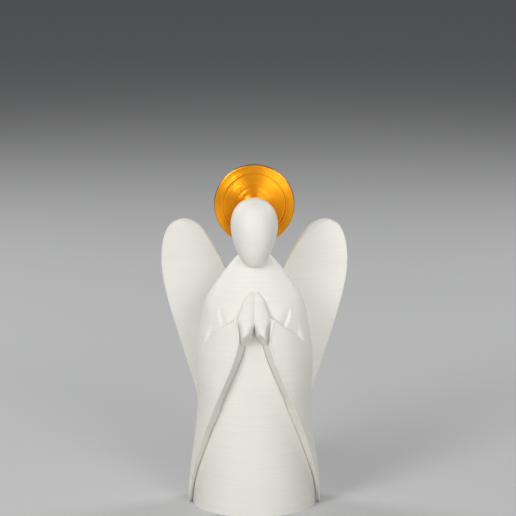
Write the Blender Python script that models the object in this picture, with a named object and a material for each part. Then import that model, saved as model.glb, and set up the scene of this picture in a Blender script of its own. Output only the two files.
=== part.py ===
"""Praying angel figurine: a faceless angel printed in off-white filament, with a gold halo disc glued on behind.

The angel stands on its flat underside and faces -Y. The origin is the middle of the underside. The figure is one
print: a closed loft for robe, cloak and chest, to which the head, the hands and the wings are joined.
"""
import math

import bmesh
import bpy
import numpy as np

# Driving sizes, in metres.
FIGURE_HEIGHT = 0.164        # underside to crown of the head
CLOAK_WALL = 0.0022          # cloak over robe at the sides of the foot
HEM_RADIUS = 0.0012          # rounding of the cloak's front edge
HEM_SHARE = 0.4              # most of the wall's width that this rounding takes
WING_THICKNESS = 0.0036
WING_DISH = 0.0006           # hollow of a wing's front face
HALO_RADIUS = 0.0211
HALO_THICKNESS = 0.0026      # plain face to back
HALO_RIM_WIDTH = 0.0046
HALO_RIM_HEIGHT = 0.0008     # rim above the plain face
HALO_RIM_SLOPE = 0.0006      # width of the rim's inner wall
HALO_EDGE_RADIUS = 0.0007
GLUE_GAP = 0.0003            # between the seat on the head and the halo
SEAT_CLEARANCE = 0.0005      # around the halo where the figure is cut for it
POCKET_ROOM = 0.0164         # how far that cut reaches behind the halo

# The figure keeps its proportions as shares of its height. One unit is a millimetre at the height above, and
# the pairs below give a height in units and a measure in units there.
HEIGHT_IN_UNITS = 164.0
UNIT = FIGURE_HEIGHT / HEIGHT_IN_UNITS

BODY_HALF_WIDTH = (
    (0, 35.0), (10, 34.8), (25, 33.1), (40, 31.1), (57, 30.0), (75, 30.8), (90, 29.7), (103, 27.5),
    (111.5, 24.8), (121, 18.6), (128.3, 13.1), (133.1, 8.8), (137, 4.8), (140, 1.2))
CHEST_FRONT = (
    (0, 31.3), (15, 29.5), (30, 27.6), (45, 25.6), (60, 23.8), (73, 22.4), (85, 21.5), (95, 21.4),
    (104, 21.2), (112, 18.2), (118, 15.0), (124, 11.3), (130, 7.4), (135, 3.8), (140, 0.8))
CLOAK_FRONT = ((0, 29.0), (25, 29.0), (47, 29.0), (60, 28.5), (73, 28.0), (85, 27.4), (95, 26.8), (105, 26.2))
BODY_BACK = (
    (0, 33.5), (20, 29.5), (40, 26.0), (58, 22.6), (75, 20.0), (90, 18.2), (103, 16.5), (112, 13.6),
    (122, 8.8), (130, 4.9), (135, 2.6), (140, 0.8))
SQUARENESS = (
    (0, 2.1), (7, 2.25), (16, 2.4), (26, 2.6), (38, 2.7), (47, 2.65), (60, 2.6), (85, 2.45), (104, 2.2),
    (125, 2.0), (140, 2.0))
CLOAK_FULLNESS = ((0, 0.0), (25, 0.0), (40, 0.2), (55, 0.8), (70, 2.1), (85, 2.6), (95, 1.6), (104, 0.0))
HEM_EDGE = (
    (0, 34.9), (7, 34.05), (16, 32.8), (26, 30.7), (36, 28.05), (45, 25.1), (54, 21.75), (65.5, 17.1),
    (74.2, 13.4), (84.9, 9.5), (91.2, 7.95), (95, 7.9), (100.4, 9.0), (104.2, 9.9))
HEM_FOOT = (
    (0, 32.75), (7, 32.25), (15.4, 30.9), (25.2, 28.15), (34.6, 24.95), (43.8, 21.7), (53, 17.9), (59.6, 15.95),
    (64.5, 14.0), (71.8, 10.8), (79.3, 7.7), (86.7, 5.1), (93, 4.6), (104.2, 5.8))
APEX = 140.0                 # top of the chest, inside the head
SLEEVE_TOP = 104.2           # where the hem's edge meets the forearm crease
WALL_FADE = 20.0             # height below it over which the wall of the cloak thins away

# The crease over the forearm: its height, by the distance from the middle of the figure.
CREASE_HEIGHT = (
    (0, 105.8), (7, 105.6), (9.6, 104.8), (13.5, 101.9), (17.7, 98.6), (22.9, 94.1), (25.2, 92.0), (27.5, 90.5))
CREASE_LEVEL = 98.0          # height from which it is sought on each column of the grid
CREASE_ROUNDS = 8
CREASE_DROP = 1.2            # height over which the sleeve's top edge rounds over
CREASE_DIP = 2.4             # fall of the sleeve's top behind that edge
DIP_FADE = 12                # power that ends the dip above the crease
CREASE_SHARP, CREASE_FADED = 22.0, 26.5
CREASE_LEAD = 13.0           # how far above the crease the faded part starts
CREASE_TAIL = 7.0            # and how far below it ends

# The crook of the elbow: a short edge between the upper arm and a hollow in the chest, as distance and height.
CROOK_LOW = (15.9, 100.3)
CROOK_HIGH = (18.3, 106.1)
CROOK_STEP = 1.6             # width of the edge
CROOK_TOP = (104.0, 109.5)   # heights between which the edge fades out
ARM_RELIEF = 1.3             # swelling outside it
ARM_EDGE = (22.0, 29.0)      # distances between which the swelling fades out
HOLLOW_RELIEF = 1.0          # hollow inside it
HOLLOW_WIDTH = 4.5

HAND_OUTER = (
    (95.5, 6.3), (96.1, 6.7), (98.5, 7.3), (101, 8.0), (103.2, 8.6), (105, 8.2), (107.8, 7.2), (110.5, 6.2),
    (113.2, 5.0), (115.6, 3.3), (116.2, 2.5), (116.6, 1.5))
HAND_INNER = (
    (95.5, 2.0), (96.6, 1.0), (98, 0.5), (99.5, 0.1), (101, -0.4), (103, -0.7), (112, -0.7), (114.5, -0.5),
    (116.2, 0.2), (116.6, 0.8))
HAND_FRONT = ((95.5, 29.3), (96.1, 29.9), (97.8, 29.9), (102, 28.2), (108, 24.2), (113, 20.2), (116.6, 16.6))
HAND_BACK = ((95.5, 17.0), (104, 16.5), (112, 15.0), (116.6, 13.4))
HAND_SKEW = ((95.5, 0.6), (99, 0.85), (104, 1.25), (110, 1.15), (116.6, 1.0))
HAND_SQUARENESS = ((95.5, 3.0), (98, 2.7), (102, 2.3), (110, 2.1), (116.6, 2.0))
HEEL_SLOPE = 0.66            # fall of the heel's underside towards the body
HEEL_DROP = 4.0              # its fall from the inner side to the outer one
HEEL_BLEND = 7.0             # height over which both fade

HEAD_RISE = 5.9              # head's centre above the apex
HEAD_Y = -5.0
HEAD_HALF_LENGTH = 18.3
HEAD_HALF_WIDTH = 12.0
HEAD_HALF_DEPTH = 12.2
HEAD_TAPER = 0.235           # narrower towards the chin, fuller towards the crown
HEAD_BLUNT = 0.85            # below 1 for a blunter chin
HEAD_TILT = 12.0             # degrees, chin forward
SEAT_Y = 6.0                 # flat on the back of the head
HALO_SHARE = 0.705           # halo's centre above the head's, as a share of the head's half length
HALO_HEIGHT = APEX + HEAD_RISE + HALO_SHARE * HEAD_HALF_LENGTH

# A wing is a petal. Its axis runs from the lower tip to the upper one, in a plane that is swept backwards.
WING_TIP_LOW = (10.0, 14.0)
WING_TIP_HIGH = (39.8, 147.1)
WING_ROOT_Y = 16.0           # depth of that plane at the middle of the figure
WING_SWEEP = 0.36            # rise of the plane towards the back, for each unit outwards
# Pairs of a share of the half turn from tip to tip, and the width there to the outer and the inner side.
WING_OUTER = (
    (0, 0), (0.12, 4.6), (0.205, 7.7), (0.295, 10.3), (0.387, 12.1), (0.473, 13.6), (0.558, 15.3),
    (0.647, 16.4), (0.70, 16.1), (0.766, 14.4), (0.805, 12.7), (0.852, 10.3), (0.916, 6.4), (0.944, 4.4), (1, 0))
WING_INNER = (
    (0, 0), (0.205, 6.8), (0.295, 11.6), (0.436, 18.4), (0.5, 20.9), (0.564, 22.2), (0.63, 21.5), (0.693, 19.2),
    (0.753, 16.1), (0.794, 14.0), (0.844, 11.4), (0.879, 9.5), (0.924, 6.2), (1, 0))

# Faces round and along each shape.
ROBE_COLUMNS, WALL_COLUMNS, ROUND_COLUMNS, FRONT_COLUMNS, BACK_COLUMNS = 6, 2, 2, 9, 8
SKIRT_ROWS, LEDGE_ROWS, CHEST_ROWS = 17, 6, 13
HEAD_SEGMENTS, HEAD_RINGS = 28, 16
HAND_SEGMENTS, HAND_RINGS = 16, 12
WING_RINGS, WING_FACE_POINTS, WING_EDGE_POINTS = 30, 7, 3
HALO_SEGMENTS = 64
HALO_EDGE_STEPS = 3


def spline(stations):
    """Natural cubic curve through pairs of position and value, level past both ends."""
    x, y = np.array(stations, float).T
    gap = np.diff(x)
    slope = np.diff(y) / gap
    last = len(x) - 1
    system = np.eye(last + 1)
    right = np.zeros(last + 1)
    for i in range(1, last):
        system[i, i - 1:i + 2] = gap[i - 1], 2 * (gap[i - 1] + gap[i]), gap[i]
        right[i] = 6 * (slope[i] - slope[i - 1])
    bend = np.linalg.solve(system, right)

    def value(at):
        at = np.clip(at, x[0], x[-1])
        i = np.clip(np.searchsorted(x, at) - 1, 0, last - 1)
        a = (x[i + 1] - at) / gap[i]
        b = 1 - a
        bending = (a ** 3 - a) * bend[i] + (b ** 3 - b) * bend[i + 1]
        return a * y[i] + b * y[i + 1] + bending * gap[i] ** 2 / 6

    return value


def ease(value, start, end):
    """Smooth step from 0 at start to 1 at end."""
    share = np.clip((value - start) / (end - start), 0, 1)
    return share * share * (3 - 2 * share)


body_half_width = spline(BODY_HALF_WIDTH)
chest_front = spline(CHEST_FRONT)
cloak_front = spline(CLOAK_FRONT)
body_back = spline(BODY_BACK)
squareness = spline(SQUARENESS)
cloak_fullness = spline(CLOAK_FULLNESS)
hem_edge = spline(HEM_EDGE)
hem_foot = spline(HEM_FOOT)
crease_height = spline(CREASE_HEIGHT)


def robe_half_width(z):
    """The robe inside the cloak: as wide as the body from the sleeve's top up, a wall narrower below."""
    wall = CLOAK_WALL / UNIT * (1 - ease(z, SLEEVE_TOP - WALL_FADE, SLEEVE_TOP))
    return body_half_width(z) - wall - cloak_fullness(z)


def robe_point(angle, z):
    """Robe section: half an ellipse."""
    return robe_half_width(z) * np.sin(angle), -chest_front(z) * np.cos(angle)


def front_reach(angle, z):
    """Distance from the middle of the figure on the front half of the cloak, its full half width behind that."""
    sine = np.where(np.cos(angle) > 0, np.clip(np.sin(angle), 0, 1), 1)
    return body_half_width(z) * sine ** (2 / squareness(z))


def arm_relief(angle, z):
    """Swelling of the upper arm outside the crook of the elbow, and the hollow inside it, in units."""
    reach = front_reach(angle, z)
    rise = np.clip((z - CROOK_LOW[1]) / (CROOK_HIGH[1] - CROOK_LOW[1]), -1, 2)
    crook = CROOK_LOW[0] + (CROOK_HIGH[0] - CROOK_LOW[0]) * (1 - (1 - rise) * np.abs(1 - rise))
    outside = ease(reach, crook - CROOK_STEP / 2, crook + CROOK_STEP / 2)
    below_top = 1 - ease(z, *CROOK_TOP)
    arm = outside * (1 - ease(reach, *ARM_EDGE)) * below_top
    hollow = (1 - outside) * ease(reach, crook - HOLLOW_WIDTH, crook) * below_top
    return ARM_RELIEF * arm - HOLLOW_RELIEF * hollow


def cloak_point(angle, z, sleeve):
    """Cloak and chest section: a squarish half ellipse pushed out by the sleeve's share, and a plain one behind."""
    front = chest_front(z) + sleeve * (cloak_front(z) - chest_front(z)) + arm_relief(angle, z) * (1 - sleeve)
    cosine = np.cos(angle)
    x = np.where(cosine > 0, front_reach(angle, z), body_half_width(z) * np.sin(angle))
    y = np.where(cosine > 0, -front * np.abs(cosine) ** (2 / squareness(z)), -body_back(z) * cosine)
    return x, y


def hem_angles(z):
    """Angles of the hem's edge on the cloak and of its foot on the robe."""
    below = np.minimum(z, SLEEVE_TOP)
    edge = np.clip(hem_edge(z) / body_half_width(below), 0, 1) ** (squareness(below) / 2)
    return np.arcsin(edge), np.arcsin(np.clip(hem_foot(z) / robe_half_width(below), 0, 1))


def body_grid():
    """Half of the body as arrays x, y, z: rows go up, columns go round from the front to the back."""
    count = ROBE_COLUMNS + WALL_COLUMNS + ROUND_COLUMNS + FRONT_COLUMNS + BACK_COLUMNS + 1
    starts = np.cumsum([0, ROBE_COLUMNS, WALL_COLUMNS, ROUND_COLUMNS, FRONT_COLUMNS, BACK_COLUMNS])
    column = np.arange(count)
    robe, wall, bend, front, back = (
        np.clip((column - low) / (high - low), 0, 1) for low, high in zip(starts[:-1], starts[1:]))

    def angles(z):
        edge, foot = hem_angles(z)
        round_end = np.minimum(edge + HEM_RADIUS / UNIT / body_half_width(z), (edge + math.pi / 2) / 2)
        after = round_end + front * (math.pi / 2 - round_end) + back * math.pi / 2
        return foot, edge, round_end, after

    crease = np.full(count, CREASE_LEVEL)
    for _ in range(CREASE_ROUNDS):
        foot, edge, round_end, after = angles(crease)
        nominal = np.where(column <= starts[1], robe * foot, foot + wall * (edge - foot))
        nominal = np.where(column > starts[3], after, nominal)
        reach = front_reach(nominal, crease)
        crease = crease_height(reach)
    fade = ease(reach, CREASE_SHARP, CREASE_FADED)
    ledge = crease - CREASE_DROP * (1 - fade) - CREASE_TAIL * fade
    skirt, step = (np.linspace(0, 1, rows, endpoint=False)[:, None] for rows in (SKIRT_ROWS, LEDGE_ROWS))
    chest = np.linspace(0, 1, CHEST_ROWS + 1)[:, None]
    drop = (1 - step) ** 2
    z = np.concatenate([skirt * ledge, crease - drop * (crease - ledge), crease + chest * (APEX - crease)])
    rounding = np.sqrt(1 - (1 - drop) ** 2)
    sharp = np.concatenate([1 + 0 * skirt, rounding, 0 * chest])
    soft = ease(-z, -crease - CREASE_LEAD, -crease + CREASE_TAIL)
    sleeve = sharp * (1 - fade) + soft * fade
    behind = np.concatenate([0 * skirt, 1 - rounding, (1 - chest) ** DIP_FADE])
    dip = CREASE_DIP * wall * (1 - fade) * behind

    foot, edge, round_end, after = angles(z)
    foot_x, foot_y = robe_point(foot, z)
    edge_x, edge_y = cloak_point(edge, z, sleeve)
    after_x, after_y = cloak_point(after, z, sleeve)
    robe_x, robe_y = robe_point(robe * foot, z)
    length = np.hypot(edge_x - foot_x, edge_y - foot_y)
    inset = np.minimum(HEM_RADIUS / UNIT, HEM_SHARE * length) / length
    turn_x, turn_y = edge_x + (foot_x - edge_x) * inset, edge_y + (foot_y - edge_y) * inset
    wall_x, wall_y = foot_x + (turn_x - foot_x) * wall, foot_y + (turn_y - foot_y) * wall
    start_x, start_y = cloak_point(round_end, z, sleeve)
    round_x = (1 - bend) ** 2 * turn_x + 2 * bend * (1 - bend) * edge_x + bend ** 2 * start_x
    round_y = (1 - bend) ** 2 * turn_y + 2 * bend * (1 - bend) * edge_y + bend ** 2 * start_y
    kind = np.searchsorted(starts[1:4], column)
    x = np.choose(kind, (robe_x, wall_x, round_x, after_x))
    y = np.choose(kind, (robe_y, wall_y, round_y, after_y))
    return x, y, z - dip


def body_rings():
    """Full rings of the body from the underside up, mirrored from the half grid."""
    x, y, z = body_grid()
    x[:, 0] = 0
    x[:, -1] = 0
    mirror = slice(x.shape[1] - 2, 0, -1)
    full = [np.concatenate([a, sign * a[:, mirror]], axis=1) for a, sign in ((x, -1), (y, 1), (z, 1))]
    return np.stack(full, axis=2) * UNIT


def head_rings():
    """Egg: rings along an axis tilted chin forward, their radius a sine of the way along it."""
    turn = math.radians(HEAD_TILT)
    way = np.linspace(0, math.pi, HEAD_RINGS + 1)[1:-1, None]
    around = np.linspace(0, 2 * math.pi, HEAD_SEGMENTS, endpoint=False)
    blunt = np.where(np.cos(way) > 0, HEAD_BLUNT, 1)
    radius = np.sin(way) ** blunt * (1 - HEAD_TAPER * np.cos(way))
    along = -HEAD_HALF_LENGTH * np.cos(way)
    deep = -HEAD_HALF_DEPTH * radius * np.cos(around)
    x = HEAD_HALF_WIDTH * radius * np.sin(around)
    y = HEAD_Y + along * math.sin(turn) + deep * math.cos(turn)
    z = APEX + HEAD_RISE + along * math.cos(turn) - deep * math.sin(turn)
    return np.stack([x, y, z], axis=2) * UNIT


def hand_rings(side):
    """One flat hand against the other: level ovals from the sloping heel up to the fingertips.

    An oval is squarer near the heel. Its skew is below 1 where its ridge lies away from the other hand.
    """
    low, high = HAND_OUTER[0][0], HAND_OUTER[-1][0]
    level = low + (high - low) * (1 - np.cos(np.linspace(0, math.pi, HAND_RINGS))[:, None]) / 2
    outer, inner, front, back, skew, square = (spline(curve)(level) for curve in (
        HAND_OUTER, HAND_INNER, HAND_FRONT, HAND_BACK, HAND_SKEW, HAND_SQUARENESS))
    around = np.linspace(0, 2 * math.pi, HAND_SEGMENTS, endpoint=False)
    sine, cosine = (np.sign(wave) * np.abs(wave) ** (2 / square) for wave in (np.sin(around), np.cos(around)))
    across = ((1 + sine) / 2) ** skew
    x = inner + (outer - inner) * across
    y = -(front + back) / 2 - (front - back) / 2 * cosine
    fall = HEEL_SLOPE * (y + front) + HEEL_DROP * (across - 0.5)
    z = level - fall * (1 - ease(level, low, low + HEEL_BLEND))
    return np.stack([side * x, y, z], axis=2)[:, ::side] * UNIT


def wing_rings(side):
    """Petal: flat rounded sections across its axis, from the lower tip to the upper one."""
    turn = np.linspace(0, 1, WING_RINGS + 1)[1:-1, None]
    axis = np.subtract(WING_TIP_HIGH, WING_TIP_LOW)
    length = np.hypot(*axis)
    along_x, along_z = axis / length
    way = length * (1 - np.cos(math.pi * turn)) / 2
    outer, inner = spline(WING_OUTER)(turn), -spline(WING_INNER)(turn)
    half = (outer - inner) / 2
    radius = np.minimum(WING_THICKNESS / UNIT / 2, half)
    face = np.linspace(-1, 1, WING_FACE_POINTS)
    bend = np.linspace(0, math.pi, WING_EDGE_POINTS + 2)[1:-1]
    across = np.concatenate([
        (half - radius) * face, half - radius + radius * np.sin(bend),
        (half - radius) * face[::-1], radius - half - radius * np.sin(bend)], axis=1)
    dish = WING_DISH / UNIT * (1 - face ** 4) * radius / radius.max()
    flat = radius * np.ones(WING_FACE_POINTS)
    thick = np.concatenate([dish - flat, -radius * np.cos(bend), flat, radius * np.cos(bend)], axis=1)
    across = across + (outer + inner) / 2
    x = WING_TIP_LOW[0] + way * along_x + across * along_z
    z = WING_TIP_LOW[1] + way * along_z - across * along_x
    lean = math.hypot(1, WING_SWEEP)
    y = WING_ROOT_Y + WING_SWEEP * x + thick / lean
    x = x - thick * WING_SWEEP / lean
    return np.stack([side * x, y, z], axis=2)[:, ::side] * UNIT


def halo_rings():
    """Disc about the Y axis: plain face, sloped inner wall, rim, rounded edge, flat back."""
    face = SEAT_Y * UNIT + GLUE_GAP
    rim = face - HALO_RIM_HEIGHT
    rim_from = HALO_RADIUS - HALO_RIM_WIDTH
    profile = [(rim_from, face), (rim_from + HALO_RIM_SLOPE, rim)]
    for corner, start in ((rim + HALO_EDGE_RADIUS, 0), (face + HALO_THICKNESS - HALO_EDGE_RADIUS, math.pi / 2)):
        for step in range(HALO_EDGE_STEPS + 1):
            angle = start + math.pi / 2 * step / HALO_EDGE_STEPS
            radius = HALO_RADIUS - HALO_EDGE_RADIUS * (1 - math.sin(angle))
            profile.append((radius, corner - HALO_EDGE_RADIUS * math.cos(angle)))
    radius, y = np.array(profile).T[:, :, None]
    around = np.linspace(0, 2 * math.pi, HALO_SEGMENTS, endpoint=False)
    x = radius * np.sin(around)
    z = HALO_HEIGHT * UNIT + radius * np.cos(around)
    return np.stack([x, y + 0 * x, z], axis=2)


def skin(name, rings, material):
    """Closed mesh object through rings of points, with a face over the first ring and over the last."""
    mesh = bpy.data.meshes.new(name)
    shape = bmesh.new()
    rows = [[shape.verts.new(point) for point in ring] for ring in rings.tolist()]
    for low, high in zip(rows[:-1], rows[1:]):
        for i, vert in enumerate(low):
            shape.faces.new((low[i - 1], vert, high[i], high[i - 1]))
    shape.faces.new(rows[0][::-1])
    shape.faces.new(rows[-1])
    bmesh.ops.recalc_face_normals(shape, faces=shape.faces)
    shape.to_mesh(mesh)
    shape.free()
    mesh.materials.append(material)
    mesh.shade_smooth()
    mesh.set_sharp_from_angle(angle=math.radians(35))
    piece = bpy.data.objects.new(name, mesh)
    bpy.context.collection.objects.link(piece)
    return piece


def halo_pocket(material):
    """Cutter behind the head: leaves a flat seat for the plain face, a step for the rim and room for the rest."""
    seat = SEAT_Y * UNIT
    rim_from = HALO_RADIUS - HALO_RIM_WIDTH - SEAT_CLEARANCE
    radius = HALO_RADIUS + SEAT_CLEARANCE
    back = seat + HALO_THICKNESS + POCKET_ROOM
    profile = ((rim_from, seat), (rim_from, seat - HALO_RIM_HEIGHT), (radius, seat - HALO_RIM_HEIGHT), (radius, back))
    around = np.linspace(0, 2 * math.pi, HALO_SEGMENTS, endpoint=False)
    rings = [
        np.stack([r * np.sin(around), y + 0 * around, HALO_HEIGHT * UNIT + r * np.cos(around)], axis=1)
        for r, y in profile]
    return skin("halo_pocket", np.stack(rings), material)


def combine(body, operand, operation):
    """Boolean between the body and a hidden operand."""
    operand.hide_render = True
    operand.display_type = "WIRE"
    modifier = body.modifiers.new(operand.name, "BOOLEAN")
    modifier.operation = operation
    modifier.solver = "EXACT"
    modifier.object = operand


def filament(name, colour, roughness, metallic):
    """Plain material of one filament."""
    material = bpy.data.materials.new(name)
    material.use_nodes = True
    shader = material.node_tree.nodes["Principled BSDF"]
    shader.inputs["Base Color"].default_value = (*colour, 1)
    shader.inputs["Roughness"].default_value = roughness
    shader.inputs["Metallic"].default_value = metallic
    return material


for old in list(bpy.data.objects):
    bpy.data.objects.remove(old, do_unlink=True)

white = filament("off_white_filament", (0.78, 0.77, 0.72), 0.6, 0.0)
gold = filament("gold_silk_filament", (0.85, 0.42, 0.06), 0.35, 0.3)

angel = skin("angel_figure", body_rings(), white)
combine(angel, skin("head", head_rings(), white), "UNION")
for label, side in (("right", 1), ("left", -1)):
    combine(angel, skin("wing_" + label, wing_rings(side), white), "UNION")
    combine(angel, skin("hand_" + label, hand_rings(side), white), "UNION")
combine(angel, halo_pocket(white), "DIFFERENCE")
skin("halo_disc", halo_rings(), gold)
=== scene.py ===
"""Praying angel figurine: the looks.

A faceless angel printed in off-white filament, with a halo disc printed in gold silk filament glued on
behind the head. It stands on a pale floor in soft studio light and faces -Y. Lengths called units are
millimetres on the figure at its modelled height.
"""
import math

import bpy
import numpy as np
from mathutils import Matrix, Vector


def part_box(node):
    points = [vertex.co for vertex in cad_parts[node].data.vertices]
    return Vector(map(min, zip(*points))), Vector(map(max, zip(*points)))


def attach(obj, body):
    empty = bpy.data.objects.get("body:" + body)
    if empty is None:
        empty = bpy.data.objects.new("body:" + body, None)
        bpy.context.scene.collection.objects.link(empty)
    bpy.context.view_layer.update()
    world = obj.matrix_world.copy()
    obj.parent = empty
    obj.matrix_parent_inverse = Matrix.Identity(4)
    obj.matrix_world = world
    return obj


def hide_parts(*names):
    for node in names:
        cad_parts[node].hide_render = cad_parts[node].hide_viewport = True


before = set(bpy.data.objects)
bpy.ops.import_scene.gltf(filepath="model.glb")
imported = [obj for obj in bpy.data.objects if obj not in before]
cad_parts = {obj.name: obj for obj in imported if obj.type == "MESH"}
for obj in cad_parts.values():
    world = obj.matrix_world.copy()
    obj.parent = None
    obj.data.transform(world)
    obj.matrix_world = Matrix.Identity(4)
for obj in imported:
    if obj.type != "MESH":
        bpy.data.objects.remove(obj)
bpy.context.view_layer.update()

# The robe, the cloak and the chest. They are one skin of an off-white print: the cloak hangs open over the
# robe, its front edge is a rounded hem, and its sleeves end in a crease over the forearms. The shape is a
# stack of level sections, so each curve below gives a measure by the height above the underside.
FIGURE_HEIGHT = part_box("angel_figure")[1].z
HEIGHT_IN_UNITS = 164.0
UNIT = FIGURE_HEIGHT / HEIGHT_IN_UNITS

BODY_HALF_WIDTH = (
    (0, 35.0), (10, 34.8), (25, 33.1), (40, 31.1), (57, 30.0), (75, 30.8), (90, 29.7), (103, 27.5),
    (111.5, 24.8), (121, 18.6), (128.3, 13.1), (133.1, 8.8), (137, 4.8), (140, 1.2))
CHEST_FRONT = (
    (0, 31.3), (15, 29.5), (30, 27.6), (45, 25.6), (60, 23.8), (73, 22.4), (85, 21.5), (95, 21.4),
    (104, 21.2), (112, 18.2), (118, 15.0), (124, 11.3), (130, 7.4), (135, 3.8), (140, 0.8))
CLOAK_FRONT = (
    (0, 29.0), (25, 29.0), (47, 29.0), (60, 28.5), (73, 28.0), (85, 27.4), (95, 26.8), (105, 26.2))
BODY_BACK = (
    (0, 33.5), (20, 29.5), (40, 26.0), (58, 22.6), (75, 20.0), (90, 18.2), (103, 16.5), (112, 13.6),
    (122, 8.8), (130, 4.9), (135, 2.6), (140, 0.8))
SQUARENESS = (
    (0, 2.1), (7, 2.25), (16, 2.4), (26, 2.6), (38, 2.7), (47, 2.65), (60, 2.6), (85, 2.45), (104, 2.2),
    (125, 2.0), (140, 2.0))
CLOAK_WALL = 2.2
CLOAK_FULLNESS = ((0, 0.0), (25, 0.0), (40, 0.2), (55, 0.8), (70, 2.1), (85, 2.6), (95, 1.6), (104, 0.0))
HEM_RADIUS, HEM_SHARE = 1.2, 0.4
HEM_LIP, SEAM_DEPTH = 0.8, 0.6
HEM_EDGE = (
    (0, 34.9), (7, 34.05), (16, 32.8), (26, 30.7), (36, 28.05), (45, 25.1), (54, 21.75), (65.5, 17.1),
    (74.2, 13.4), (84.9, 9.5), (91.2, 7.95), (95, 7.9), (100.4, 9.0), (104.2, 9.9))
HEM_FOOT = (
    (0, 32.75), (7, 32.25), (15.4, 30.9), (25.2, 28.15), (34.6, 24.95), (43.8, 21.7), (53, 17.9),
    (59.6, 15.95), (64.5, 14.0), (71.8, 10.8), (79.3, 7.7), (86.7, 5.1), (93, 4.6), (104.2, 5.8))
CHEST_TOP = 140.0
SLEEVE_TOP = 104.2
WALL_FADE = 20.0
CREASE_HEIGHT = (
    (0, 105.8), (7, 105.6), (9.6, 104.8), (13.5, 101.9), (17.7, 98.6), (22.9, 94.1), (25.2, 92.0),
    (27.5, 90.5))
CREASE_LEVEL, CREASE_ROUNDS = 98.0, 8
CREASE_DROP, CREASE_DIP, DIP_FADE = 1.2, 2.4, 12
CREASE_SHARP, CREASE_FADED = 22.0, 26.5
CREASE_LEAD, CREASE_TAIL = 13.0, 7.0
CROOK_LOW, CROOK_HIGH = (15.9, 100.3), (18.3, 106.1)
CROOK_STEP = 1.9
CROOK_TOP = (104.0, 109.5)
ARM_RELIEF, HOLLOW_RELIEF = 0.5, 0.85
ARM_EDGE, HOLLOW_WIDTH = (22.0, 29.0), 4.5
ROBE_COLUMNS, WALL_COLUMNS, ROUND_COLUMNS, FRONT_COLUMNS, BACK_COLUMNS = 30, 6, 8, 84, 22
SKIRT_ROWS, LEDGE_ROWS, CHEST_ROWS = 96, 14, 84


def spline(stations):
    """Natural cubic curve through pairs of position and value.

    Its bend at each station solves the equations that make the slope run on from one gap to the next. Past
    both ends it stays level.
    """
    x, y = np.array(stations, float).T
    gap = np.diff(x)
    slope = np.diff(y) / gap
    last = len(x) - 1
    system = np.eye(last + 1)
    right = np.zeros(last + 1)
    inner = np.arange(1, last)
    system[inner, inner - 1] = gap[:-1]
    system[inner, inner] = 2 * (gap[:-1] + gap[1:])
    system[inner, inner + 1] = gap[1:]
    right[inner] = 6 * np.diff(slope)
    bend = np.linalg.solve(system, right)

    def value(at):
        at = np.clip(at, x[0], x[-1])
        i = np.clip(np.searchsorted(x, at) - 1, 0, last - 1)
        a = (x[i + 1] - at) / gap[i]
        b = 1 - a
        bending = (a ** 3 - a) * bend[i] + (b ** 3 - b) * bend[i + 1]
        return a * y[i] + b * y[i + 1] + bending * gap[i] ** 2 / 6

    return value


def ease(value, start, end):
    """Smooth step: 3 t squared minus 2 t cubed, where t goes from 0 at start to 1 at end."""
    t = np.clip((value - start) / (end - start), 0, 1)
    return t * t * (3 - 2 * t)


body_half_width = spline(BODY_HALF_WIDTH)
chest_front = spline(CHEST_FRONT)
cloak_front = spline(CLOAK_FRONT)
body_back = spline(BODY_BACK)
squareness = spline(SQUARENESS)
cloak_fullness = spline(CLOAK_FULLNESS)
hem_edge = spline(HEM_EDGE)
hem_foot = spline(HEM_FOOT)
crease_height = spline(CREASE_HEIGHT)


def robe_half_width(z):
    """The robe is as wide as the body at the sleeve's top, and narrower by the cloak below it."""
    wall = CLOAK_WALL * (1 - ease(z, SLEEVE_TOP - WALL_FADE, SLEEVE_TOP))
    return body_half_width(z) - wall - cloak_fullness(z)


def robe_point(angle, z):
    """Half an ellipse: half width times the sine, minus the front depth times the cosine."""
    return robe_half_width(z) * np.sin(angle), -chest_front(z) * np.cos(angle)


def front_reach(angle, z):
    """Half width times the sine to the power 2 over the squareness, on the front half of the cloak."""
    sine = np.where(np.cos(angle) > 0, np.clip(np.sin(angle), 0, 1), 1)
    return body_half_width(z) * sine ** (2 / squareness(z))


def arm_relief(angle, z):
    """Swelling of the upper arm, less the hollow beside it: smooth steps across the crook of the elbow."""
    reach = front_reach(angle, z)
    rise = np.clip((z - CROOK_LOW[1]) / (CROOK_HIGH[1] - CROOK_LOW[1]), -1, 2)
    crook = CROOK_LOW[0] + (CROOK_HIGH[0] - CROOK_LOW[0]) * (1 - (1 - rise) * np.abs(1 - rise))
    outside = ease(reach, crook - CROOK_STEP / 2, crook + CROOK_STEP / 2)
    below_top = 1 - ease(z, *CROOK_TOP)
    arm = outside * (1 - ease(reach, *ARM_EDGE)) * below_top
    hollow = (1 - outside) * ease(reach, crook - HOLLOW_WIDTH, crook) * below_top
    return ARM_RELIEF * arm - HOLLOW_RELIEF * hollow


def cloak_point(angle, z, sleeve):
    """Squarish half ellipse in front, pushed out by the sleeve's share, and a plain half ellipse behind."""
    chest = chest_front(z)
    front = chest + sleeve * (cloak_front(z) - chest) + arm_relief(angle, z) * (1 - sleeve)
    cosine = np.cos(angle)
    x = np.where(cosine > 0, front_reach(angle, z), body_half_width(z) * np.sin(angle))
    y = np.where(cosine > 0, -front * np.abs(cosine) ** (2 / squareness(z)), -body_back(z) * cosine)
    return x, y


def column_angles(z):
    """Angles of the hem's foot on the robe, of its edge on the cloak, and of the end of its rounding.

    The rounding ends at most half way from the edge to the side.
    """
    below = np.minimum(z, SLEEVE_TOP)
    edge = np.clip(hem_edge(z) / body_half_width(below), 0, 1) ** (squareness(below) / 2)
    foot, edge = np.arcsin(np.clip(hem_foot(z) / robe_half_width(below), 0, 1)), np.arcsin(edge)
    return foot, edge, np.minimum(edge + HEM_RADIUS / body_half_width(z), (edge + math.pi / 2) / 2)


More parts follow.
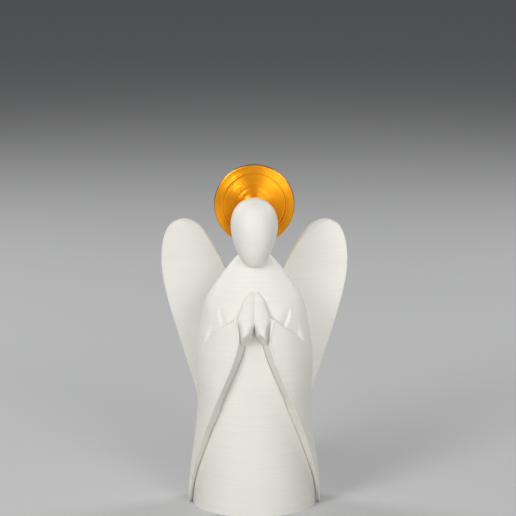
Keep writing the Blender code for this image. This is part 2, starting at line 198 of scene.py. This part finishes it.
def parabola(t, start, middle, end):
    """Start, middle and end, weighed by 1 minus t squared, twice t times 1 minus t, and t squared."""
    return (1 - t) ** 2 * start + 2 * t * (1 - t) * middle + t ** 2 * end


def body_rings():
    """Rings up the body, each carried round its section.

    From the front, a ring follows the robe to the hem's foot, where it sinks by the seam's depth. Then come
    the straight wall of the cloak, a parabola round the hem, whose middle is drawn forward to a faint lip,
    and the cloak to the middle of the back. The left half mirrors the right. Below the crease the rows
    spread evenly to the underside, and above it to the top of the chest. Behind the sleeve's edge they dip.
    """
    counts = ROBE_COLUMNS, WALL_COLUMNS, ROUND_COLUMNS, FRONT_COLUMNS, BACK_COLUMNS
    starts = np.cumsum((0, *counts))
    column = np.arange(starts[-1] + 1)
    robe, wall, bend, front, back = (
        np.clip((column - low) / (high - low), 0, 1) for low, high in zip(starts[:-1], starts[1:]))

    crease = np.full(starts[-1] + 1, CREASE_LEVEL)
    for _ in range(CREASE_ROUNDS):
        foot, edge, after = column_angles(crease)
        nominal = np.where(column <= starts[1], robe * foot, foot + wall * (edge - foot))
        around = after + front * (math.pi / 2 - after) + back * math.pi / 2
        nominal = np.where(column > starts[3], around, nominal)
        reach = front_reach(nominal, crease)
        crease = crease_height(reach)
    fade = ease(reach, CREASE_SHARP, CREASE_FADED)
    ledge = crease - CREASE_DROP * (1 - fade) - CREASE_TAIL * fade
    skirt = np.linspace(0, 1, SKIRT_ROWS, endpoint=False)[:, None]
    step = np.linspace(0, 1, LEDGE_ROWS, endpoint=False)[:, None]
    chest = np.linspace(0, 1, CHEST_ROWS + 1)[:, None]
    drop = (1 - step) ** 2
    z = np.concatenate([
        skirt * ledge, crease - drop * (crease - ledge), crease + chest * (CHEST_TOP - crease)])
    rounding = np.sqrt(1 - (1 - drop) ** 2)
    sharp = np.concatenate([1 + 0 * skirt, rounding, 0 * chest])
    soft = ease(-z, -crease - CREASE_LEAD, -crease + CREASE_TAIL)
    sleeve = sharp * (1 - fade) + soft * fade
    behind = np.concatenate([0 * skirt, 1 - rounding, (1 - chest) ** DIP_FADE])
    dip = CREASE_DIP * wall * (1 - fade) * behind

    foot, edge, after = column_angles(z)
    foot_x, foot_y = robe_point(foot, z)
    edge_x, edge_y = cloak_point(edge, z, sleeve)
    length = np.hypot(edge_x - foot_x, edge_y - foot_y)
    inset = np.minimum(HEM_RADIUS, HEM_SHARE * length) / length
    turn_x, turn_y = edge_x + (foot_x - edge_x) * inset, edge_y + (foot_y - edge_y) * inset
    lip_y = edge_y - HEM_LIP * sleeve
    start_x, start_y = cloak_point(after, z, sleeve)
    around = after + front * (math.pi / 2 - after) + back * math.pi / 2
    cloak_x, cloak_y = cloak_point(around, z, sleeve)
    robe_x, robe_y = robe_point(robe * foot, z)
    part = np.searchsorted(starts[1:4], column)
    x = np.choose(part, (
        robe_x, foot_x + (turn_x - foot_x) * wall, parabola(bend, turn_x, edge_x, start_x), cloak_x))
    y = np.choose(part, (
        robe_y, foot_y + (turn_y - foot_y) * wall, parabola(bend, turn_y, lip_y, start_y), cloak_y))
    y[:, starts[1]] += SEAM_DEPTH * sleeve[:, starts[1]]
    x[:, [0, -1]] = 0
    other_half = slice(x.shape[1] - 2, 0, -1)
    whole = [
        np.concatenate([half, sign * half[:, other_half]], axis=1)
        for half, sign in ((x, -1), (y, 1), (z - dip, 1))]
    return np.stack(whole, axis=2) * UNIT


def skin(name, rings):
    """Closed mesh object over a grid of points, ring by ring, with a flat cap at each end.

    A face joins two neighbours in one ring to the same two in the next. Rings turn anticlockwise as seen
    from the last ring, so the faces point outwards.
    """
    rows, count = rings.shape[:2]
    index = np.arange(rows * count).reshape(rows, count)
    beside = np.roll(index, -1, axis=1)
    quads = np.stack([index[:-1], beside[:-1], beside[1:], index[1:]], axis=2).reshape(-1, 4)
    caps = [index[0, ::-1].tolist(), index[-1].tolist()]
    mesh = bpy.data.meshes.new(name)
    mesh.from_pydata(rings.reshape(-1, 3), [], quads.tolist() + caps)
    mesh.validate()
    piece = bpy.data.objects.new(name, mesh)
    bpy.context.scene.collection.objects.link(piece)
    return piece


angel = skin("angel_print", body_rings())

# The head. It is printed with the body: a smooth egg with a blunt chin, tipped a little forward, and flat
# behind where the halo is glued on.
HEAD_Y, HEAD_Z = -5.0, 145.9
HEAD_HALF_LENGTH, HEAD_HALF_WIDTH, HEAD_HALF_DEPTH = 18.3, 12.0, 12.2
HEAD_TAPER = 0.235
HEAD_BLUNT = 0.85
HEAD_TILT = math.radians(12)
HEAD_SEGMENTS, HEAD_ROWS = 112, 72


def head_rings():
    """Rings along a tilted axis, from the chin to the crown.

    The radius is the sine of the way along, raised to a power below 1 under the middle, and times a taper
    that follows the cosine.
    """
    way = np.linspace(0, math.pi, HEAD_ROWS + 1)[1:-1, None]
    around = np.linspace(0, 2 * math.pi, HEAD_SEGMENTS, endpoint=False)
    blunt = np.where(np.cos(way) > 0, HEAD_BLUNT, 1)
    radius = np.sin(way) ** blunt * (1 - HEAD_TAPER * np.cos(way))
    along = -HEAD_HALF_LENGTH * np.cos(way)
    deep = -HEAD_HALF_DEPTH * radius * np.cos(around)
    x = HEAD_HALF_WIDTH * radius * np.sin(around)
    y = HEAD_Y + along * math.sin(HEAD_TILT) + deep * math.cos(HEAD_TILT)
    z = HEAD_Z + along * math.cos(HEAD_TILT) - deep * math.sin(HEAD_TILT)
    return np.stack([x, y, z], axis=2) * UNIT


head = skin("head", head_rings())

# The praying hands. They are printed with the body, palm to palm, and lean back from the cuffs to the
# chest. A narrow groove between them opens over the heels, whose undersides slope back into the open cloak.
SIDES = (("right", 1), ("left", -1))
HAND_OUTER = (
    (95.5, 6.3), (96.1, 6.7), (98.5, 7.3), (101, 8.0), (103.2, 8.6), (105, 8.2), (107.8, 7.2), (110.5, 6.2),
    (113.2, 5.0), (115.6, 3.3), (116.2, 2.5), (116.6, 1.5))
HAND_INNER = (
    (95.5, 2.0), (96.6, 1.0), (98, 0.5), (99.5, 0.1), (101, -0.4), (103, -0.7), (112, -0.7), (114.5, -0.5),
    (116.2, 0.2), (116.6, 0.8))
HAND_FRONT = (
    (95.5, 29.3), (96.1, 29.9), (97.8, 29.9), (102, 28.2), (108, 24.2), (113, 20.2), (116.6, 16.6))
HAND_BACK = ((95.5, 17.0), (104, 16.5), (112, 15.0), (116.6, 13.4))
HAND_SKEW = ((95.5, 0.6), (99, 0.85), (104, 1.25), (110, 1.15), (116.6, 1.0))
HAND_SQUARENESS = ((95.5, 3.0), (98, 2.7), (102, 2.3), (110, 2.1), (116.6, 2.0))
HEEL_SLOPE, HEEL_DROP, HEEL_BLEND = 0.66, 4.0, 7.0
HAND_SEGMENTS, HAND_ROWS = 56, 54


def hand_rings(side):
    """Level ovals between four curves, from the heel up to the fingertips.

    Sine and cosine are raised to 2 over the squareness. The place across is half of 1 plus that sine, to a
    power below 1 where the ridge lies away from the other hand. Near the heel the rings tip: they fall with
    the distance behind the front, and from the inner side to the outer one.
    """
    low, high = HAND_OUTER[0][0], HAND_OUTER[-1][0]
    level = low + (high - low) * (1 - np.cos(np.linspace(0, math.pi, HAND_ROWS))[:, None]) / 2
    outer, inner, front, back, skew, square = (spline(curve)(level) for curve in (
        HAND_OUTER, HAND_INNER, HAND_FRONT, HAND_BACK, HAND_SKEW, HAND_SQUARENESS))
    around = np.linspace(0, 2 * math.pi, HAND_SEGMENTS, endpoint=False)
    sine, cosine = (
        np.sign(wave) * np.abs(wave) ** (2 / square) for wave in (np.sin(around), np.cos(around)))
    across = ((1 + sine) / 2) ** skew
    x = inner + (outer - inner) * across
    y = -(front + back) / 2 - (front - back) / 2 * cosine
    fall = HEEL_SLOPE * (y + front) + HEEL_DROP * (across - 0.5)
    z = level - fall * (1 - ease(level, low, low + HEEL_BLEND))
    return np.stack([side * x, y, z], axis=2)[:, ::side] * UNIT


hands = [skin("hand_" + label, hand_rings(side)) for label, side in SIDES]

# The wings. They are printed with the body too: two long petals of even thickness, whose corners are a
# little rounded. They are faintly hollow in front and sweep back, and their lower tips run into the cloak.
WING_TIP_LOW, WING_TIP_HIGH = (10.0, 14.0), (39.8, 147.1)
WING_ROOT_Y = 16.0
WING_SWEEP = 0.36
WING_THICKNESS = 3.6
WING_DISH = 0.6
WING_CORNER = 0.6
WING_INSET, WING_INSET_SHARE = 0.95, 0.9
WING_OUTER = (
    (0, 0), (0.12, 4.6), (0.205, 7.7), (0.295, 10.3), (0.387, 12.1), (0.473, 13.6), (0.558, 15.3),
    (0.647, 16.4), (0.70, 16.1), (0.766, 14.4), (0.805, 12.7), (0.852, 10.3), (0.916, 6.4), (0.944, 4.4),
    (1, 0))
WING_INNER = (
    (0, 0), (0.205, 6.8), (0.295, 11.6), (0.436, 18.4), (0.5, 20.9), (0.564, 22.2), (0.63, 21.5),
    (0.693, 19.2), (0.753, 16.1), (0.794, 14.0), (0.844, 11.4), (0.879, 9.5), (0.924, 6.2), (1, 0))
WING_ROWS, WING_FACE_POINTS, WING_EDGE_POINTS = 110, 21, 8


def wing_rings(side):
    """Flat sections with quarter round corners, carried along the wing's axis.

    The way along the axis is half of 1 minus the cosine of a half turn, and two curves give the width to
    each side of it there. The flat faces end an inset short of the half width, or at a tenth of it near the
    tips. The front face sinks by the dish times 1 minus the fourth power of the place across.
    """
    turn = np.linspace(0, 1, WING_ROWS + 1)[1:-1, None]
    axis = np.subtract(WING_TIP_HIGH, WING_TIP_LOW)
    length = np.hypot(*axis)
    along_x, along_z = axis / length
    way = length * (1 - np.cos(math.pi * turn)) / 2
    outer, inner = spline(WING_OUTER)(turn), -spline(WING_INNER)(turn)
    half = (outer - inner) / 2
    depth = np.minimum(WING_THICKNESS / 2, half)
    corner = np.minimum(WING_CORNER, depth)
    side_place = half - np.minimum(WING_INSET, WING_INSET_SHARE * half)
    face = np.linspace(-1, 1, WING_FACE_POINTS)
    bend = np.linspace(0, math.pi, WING_EDGE_POINTS + 2)[1:-1]
    flat = depth * np.ones(WING_FACE_POINTS)
    dish = WING_DISH * (1 - face ** 4) * depth / depth.max()
    edge = side_place + corner * np.sin(bend)
    edge_depth = (depth - corner) * np.sign(np.cos(bend)) + corner * np.cos(bend)
    across = np.concatenate([side_place * face, edge, side_place * face[::-1], -edge], axis=1)
    thick = np.concatenate([dish - flat, -edge_depth, flat, edge_depth], axis=1)
    across = across + (outer + inner) / 2
    x = WING_TIP_LOW[0] + way * along_x + across * along_z
    z = WING_TIP_LOW[1] + way * along_z - across * along_x
    lean = math.hypot(1, WING_SWEEP)
    y = WING_ROOT_Y + WING_SWEEP * x + thick / lean
    x = x - thick * WING_SWEEP / lean
    return np.stack([side * x, y, z], axis=2)[:, ::side] * UNIT


wings = [skin("wing_" + label, wing_rings(side)) for label, side in SIDES]

# One print. The head, the hands and the wings are joined to the body, and the back of the head is cut flat,
# with a step for the halo's rim, where the halo is glued on.
HALO_LOW, HALO_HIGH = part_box("halo_disc")
HALO_RADIUS = (HALO_HIGH.x - HALO_LOW.x) / 2
HALO_CENTRE_Z = (HALO_HIGH.z + HALO_LOW.z) / 2
HALO_RIM_WIDTH = 0.0046
HALO_RIM_HEIGHT = 0.0008
GLUE_GAP = 0.0003
SEAT_Y = HALO_LOW.y + HALO_RIM_HEIGHT - GLUE_GAP
SEAT_CLEARANCE = 0.0005
SEAT_SEGMENTS = 160
POCKET_REACH = FIGURE_HEIGHT / 10
SMOOTH_BELOW = math.radians(40)


def turned(profile, segments):
    """Rings of a profile of radius and depth, turned about the halo's axis from the front to the back."""
    radius, y = np.array(profile).T[:, :, None]
    around = np.linspace(0, 2 * math.pi, segments, endpoint=False)
    x, z = radius * np.sin(around), HALO_CENTRE_Z + radius * np.cos(around)
    return np.stack([x, y + 0 * around, z], axis=2)


def joined(body, operands, operation):
    """Boolean of the body with each operand in turn, worked out exactly and kept as the body's mesh."""
    for operand in operands:
        modifier = body.modifiers.new(operand.name, "BOOLEAN")
        modifier.operation = operation
        modifier.solver = "EXACT"
        modifier.object = operand
    shaped = body.evaluated_get(bpy.context.evaluated_depsgraph_get())
    mesh = bpy.data.meshes.new_from_object(shaped)
    body.modifiers.clear()
    body.data = mesh
    for operand in operands:
        bpy.data.objects.remove(operand)


pocket_inside = HALO_RADIUS - HALO_RIM_WIDTH - SEAT_CLEARANCE
pocket_outside = HALO_RADIUS + SEAT_CLEARANCE
pocket = skin("halo_pocket", turned((
    (pocket_inside, SEAT_Y), (pocket_inside, SEAT_Y - HALO_RIM_HEIGHT),
    (pocket_outside, SEAT_Y - HALO_RIM_HEIGHT),
    (pocket_outside, HALO_HIGH.y + POCKET_REACH)), SEAT_SEGMENTS))
joined(angel, [head, *wings, *hands], "UNION")
joined(angel, [pocket], "DIFFERENCE")
angel.data.shade_smooth()
angel.data.set_sharp_from_angle(angle=SMOOTH_BELOW)


# The filament is a warm off-white with a dull sheen. Level layers, 0.2 mm thick, ring the whole print, and
# no two of them lie quite alike, so fine level streaks show.
LAYER = 0.0002
OFF_WHITE = (0.80, 0.79, 0.722, 1)
OFF_WHITE_DIM = (0.75, 0.74, 0.67, 1)
TONE_RANGE = (0.3, 0.65)
NOISE_DETAIL = 2.0
STREAK_STRETCH, STREAK_ROUGHNESS = (30, 30, 3400), 0.6
MOTTLE_STRETCH = (60, 60, 160)
STREAK_TONE, MOTTLE_TONE = 0.85, 0.15
BEAD_RELIEF, STREAK_RELIEF, MOTTLE_RELIEF = 0.25, 1.8, 0.2
RELIEF_DEPTH, RELIEF_STRENGTH = 0.00006, 0.5
DULLNESS, STREAK_GLOSS = 0.56, 0.12


class Wire:
    """An output of a node in a material. Arithmetic on it adds Math nodes, and node() adds any other."""

    def __init__(self, socket):
        self.socket = socket

    def node(self, kind, settings, inputs, output=0):
        """Add a node of a type. Its settings come first, then the value or the wire of each input."""
        tree = self.socket.id_data
        made = tree.nodes.new("ShaderNode" + kind)
        for name, value in settings.items():
            setattr(made, name, value)
        for name, value in inputs.items():
            if isinstance(value, Wire):
                tree.links.new(value.socket, made.inputs[name])
            else:
                made.inputs[name].default_value = value
        return Wire(made.outputs[output])

    def math(self, operation, first, second=0.0):
        """Math node on two values."""
        return self.node("Math", {"operation": operation}, {0: first, 1: second})

    def __add__(self, other):
        return self.math("ADD", self, other)

    def __sub__(self, other):
        return self.math("SUBTRACT", self, other)

    def __rsub__(self, other):
        return self.math("SUBTRACT", other, self)

    def __mul__(self, other):
        return self.math("MULTIPLY", self, other)

    __radd__ = __add__
    __rmul__ = __mul__


def filament(name, metallic):
    """New material of a filament, with its shader and the place on the piece in metres."""
    material = bpy.data.materials.new(name)
    material.use_nodes = True
    tree = material.node_tree
    shader = tree.nodes["Principled BSDF"]
    shader.inputs["Metallic"].default_value = metallic
    place = Wire(tree.nodes.new("ShaderNodeTexCoord").outputs["Object"])
    return material, shader, place


def blended(value, ends, first, second):
    """Colour that goes from the first to the second as a value goes from one end to the other."""
    share = value.node("MapRange", {}, {"Value": value, "From Min": ends[0], "From Max": ends[1]})
    return value.node("Mix", {"data_type": "RGBA"}, {0: share, 6: first, 7: second}, output=2)


def feed(shader, wires):
    """Link wires to inputs of a shader, by the inputs' names."""
    for name, wire in wires.items():
        shader.id_data.links.new(wire.socket, shader.inputs[name])


material, shader, place = filament("off_white_filament", 0.0)
height = place.node("SeparateXYZ", {}, {0: place}, output=2)
bead = place.math("SINE", height * (2 * math.pi / LAYER))
stretch = {"operation": "MULTIPLY"}
streaks = place.node("TexNoise", {}, {
    "Vector": place.node("VectorMath", stretch, {0: place, 1: STREAK_STRETCH}),
    "Scale": 1.0, "Detail": NOISE_DETAIL, "Roughness": STREAK_ROUGHNESS})
mottle = place.node("TexNoise", {}, {
    "Vector": place.node("VectorMath", stretch, {0: place, 1: MOTTLE_STRETCH}),
    "Scale": 1.0, "Detail": NOISE_DETAIL})
relief = bead * BEAD_RELIEF + streaks * STREAK_RELIEF + mottle * MOTTLE_RELIEF
tone = streaks * STREAK_TONE + mottle * MOTTLE_TONE
feed(shader, {
    "Base Color": blended(tone, TONE_RANGE, OFF_WHITE_DIM, OFF_WHITE),
    "Roughness": DULLNESS - STREAK_GLOSS * streaks,
    "Normal": place.node("Bump", {}, {
        "Strength": RELIEF_STRENGTH, "Distance": RELIEF_DEPTH, "Height": relief})})
angel.data.materials.clear()
angel.data.materials.append(material)
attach(angel, "root")
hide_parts("angel_figure")

# The halo. It is a thin disc printed flat in gold silk filament and glued upright behind the head. Its face
# is laid in rings of bead, which is why it shines in wedges, and a raised rim runs round it.
HALO_FACE_Y = HALO_LOW.y + HALO_RIM_HEIGHT
HALO_RIM_SLOPE = 0.00012
HALO_EDGE_RADIUS = 0.0007
BEAD_PITCH = 0.0003
BEAD_DEPTH = 0.00005
BEAD_SEED, BEAD_SPREAD = 7, (0.5, 1.5)
STEPS_A_BEAD, HALO_EDGE_POINTS, HALO_BACK_POINTS = 6, 9, 12
HALO_SEGMENTS = 128
GOLD = (1.0, 0.42, 0.014, 1)
GOLD_DEEP = (0.84, 0.265, 0.004, 1)
GOLD_RANGE = (0.3, 0.6)
RINGS_PER_METRE = 3400
GOLD_ROUGHNESS, RING_ROUGHNESS = 0.24, 0.16
GOLD_COAT, COAT_ROUGHNESS = 0.15, 0.3


def halo_profile():
    """Radius and depth of the disc, from the middle of its face round the edge to the middle of its back.

    The face steps up to the rim over a steep wall, and sinks between beads by the bead depth times half of
    1 minus the cosine of the way across a bead. Seeded draws make some beads deeper than others. The edge
    is a quarter circle on each side.
    """
    flat_radius, least_radius = HALO_RADIUS - HALO_EDGE_RADIUS, BEAD_PITCH / 4
    beads = int(flat_radius / BEAD_PITCH)
    radius = np.linspace(least_radius, flat_radius, beads * STEPS_A_BEAD)
    rim_from = HALO_RADIUS - HALO_RIM_WIDTH
    rim = np.clip((radius - rim_from) / HALO_RIM_SLOPE, 0, 1)
    across = radius / BEAD_PITCH
    depth = np.random.default_rng(BEAD_SEED).uniform(*BEAD_SPREAD, beads + 2)[across.astype(int)]
    groove = BEAD_DEPTH * depth * (1 - np.cos(2 * math.pi * across)) / 2
    face = HALO_FACE_Y - HALO_RIM_HEIGHT * rim + groove
    turn = np.linspace(0, math.pi / 2, HALO_EDGE_POINTS)
    edge = HALO_RADIUS - HALO_EDGE_RADIUS * (1 - np.sin(turn))
    edge_y = HALO_EDGE_RADIUS * (1 - np.cos(turn))
    back = np.linspace(flat_radius, least_radius, HALO_BACK_POINTS)[1:]
    back_y = HALO_HIGH.y + 0 * back
    return np.stack([
        np.concatenate([radius[:-1], edge, edge[::-1], back]),
        np.concatenate([face[:-1], HALO_LOW.y + edge_y, HALO_HIGH.y - edge_y[::-1], back_y])], axis=1)


halo = skin("halo_print", turned(halo_profile(), HALO_SEGMENTS))
halo.data.shade_smooth()
halo.data.set_sharp_from_angle(angle=SMOOTH_BELOW)

material, shader, place = filament("gold_silk_filament", 1.0)
shader.inputs["Coat Weight"].default_value = GOLD_COAT
shader.inputs["Coat Roughness"].default_value = COAT_ROUGHNESS
across = place.node("SeparateXYZ", {}, {0: place})
above = place.node("SeparateXYZ", {}, {0: place}, output=2) - HALO_CENTRE_Z
radius = place.math("SQRT", across * across + above * above)
ring_noise = place.node("TexNoise", {"noise_dimensions": "1D"}, {
    "W": radius * RINGS_PER_METRE, "Scale": 1.0, "Detail": NOISE_DETAIL})
feed(shader, {
    "Base Color": blended(ring_noise, GOLD_RANGE, GOLD_DEEP, GOLD),
    "Roughness": GOLD_ROUGHNESS + RING_ROUGHNESS * ring_noise})
halo.data.materials.append(material)
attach(halo, "root")
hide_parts("halo_disc")

# The studio. The figure stands on a wide, plain, pale floor. The large soft key light hangs on the left in
# front, weaker ones fill from above and from the right, a narrow spot lifts the wing on the right, and two
# lights stand behind. The camera looks a little down.
FLOOR_HALF = 6.0
FLOOR_GREY, FLOOR_ROUGHNESS = (0.5, 0.5, 0.5, 1), 0.9
floor_mesh = bpy.data.meshes.new("floor")
floor_mesh.from_pydata([
    (-FLOOR_HALF, -FLOOR_HALF, 0), (FLOOR_HALF, -FLOOR_HALF, 0),
    (FLOOR_HALF, FLOOR_HALF, 0), (-FLOOR_HALF, FLOOR_HALF, 0)], [], [(0, 1, 2, 3)])
floor = bpy.data.objects.new("floor", floor_mesh)
bpy.context.scene.collection.objects.link(floor)
paper = bpy.data.materials.new("floor_paper")
paper.use_nodes = True
paper_shader = paper.node_tree.nodes["Principled BSDF"]
paper_shader.inputs["Base Color"].default_value = FLOOR_GREY
paper_shader.inputs["Roughness"].default_value = FLOOR_ROUGHNESS
floor_mesh.materials.append(paper)


AIM = (0, 0, FIGURE_HEIGHT / 2)
LIGHT_DISTANCE = 1.3
STUDIO_LIGHTS = (
    {"name": "key", "azimuth": -36, "elevation": 27, "size": 0.45, "watts": 6.5},
    {"name": "left_high", "azimuth": -40, "elevation": 50, "size": 0.5, "watts": 2.4},
    {"name": "fill", "azimuth": 26, "elevation": 24, "size": 0.5, "watts": 4.5},
    {"name": "top", "azimuth": 15, "elevation": 60, "size": 0.5, "watts": 1.2},
    {"name": "front_low", "azimuth": 14, "elevation": 5, "size": 0.6, "watts": 1.5},
    {"name": "left_back", "azimuth": -135, "elevation": 35, "size": 0.5, "watts": 5.8},
    {"name": "right_back", "azimuth": 135, "elevation": 35, "size": 0.5, "watts": 5.2})
WING_SPOT_AIM = (0.044, 0.032, 0.122)
WING_SPOT_PLACE = (0.74, -1.02, 0.36)
WING_SPOT_WATTS = 24
WING_SPOT_CONE = math.radians(4.2)
WING_SPOT_BLEND = 0.7
WING_SPOT_RADIUS = 0.05


def hang(light, place, target):
    """Put a light at a place, turned so that its -Z axis points at the target."""
    lamp = bpy.data.objects.new(light.name, light)
    lamp.location = place
    toward = np.subtract(target, lamp.location)
    flat = math.hypot(toward[0], toward[1])
    lamp.rotation_euler = (math.pi / 2 + math.atan2(toward[2], flat), 0, math.atan2(-toward[0], toward[1]))
    bpy.context.scene.collection.objects.link(lamp)


for facts in STUDIO_LIGHTS:
    light = bpy.data.lights.new(facts["name"], "AREA")
    light.shape = "DISK"
    light.size = facts["size"]
    light.energy = facts["watts"]
    turn, rise = math.radians(facts["azimuth"]), math.radians(facts["elevation"])
    outward = (math.sin(turn) * math.cos(rise), -math.cos(turn) * math.cos(rise), math.sin(rise))
    hang(light, np.add(AIM, np.multiply(LIGHT_DISTANCE, outward)), AIM)

spot = bpy.data.lights.new("wing_spot", "SPOT")
spot.energy = WING_SPOT_WATTS
spot.spot_size = WING_SPOT_CONE
spot.spot_blend = WING_SPOT_BLEND
spot.shadow_soft_size = WING_SPOT_RADIUS
hang(spot, WING_SPOT_PLACE, WING_SPOT_AIM)

WORLD_COLOUR, WORLD_STRENGTH = (0.9, 0.92, 0.95, 1), 0.15
world = bpy.data.worlds.new("studio")
world.use_nodes = True
background = world.node_tree.nodes["Background"]
background.inputs["Color"].default_value = WORLD_COLOUR
background.inputs["Strength"].default_value = WORLD_STRENGTH
bpy.context.scene.world = world
bpy.context.scene.view_settings.view_transform = "Standard"

CAMERA_PLACE = (0.00195, -1.173, 0.354)
CAMERA_LENS = 159.1
CAMERA_NEAR = 0.05
CAMERA_DOWN = 10.74
camera = bpy.data.cameras.new("camera")
camera.lens = CAMERA_LENS
camera.clip_start = CAMERA_NEAR
view = bpy.data.objects.new("camera", camera)
view.location = CAMERA_PLACE
view.rotation_euler = (math.radians(90 - CAMERA_DOWN), 0, 0)
bpy.context.scene.collection.objects.link(view)
bpy.context.scene.camera = view
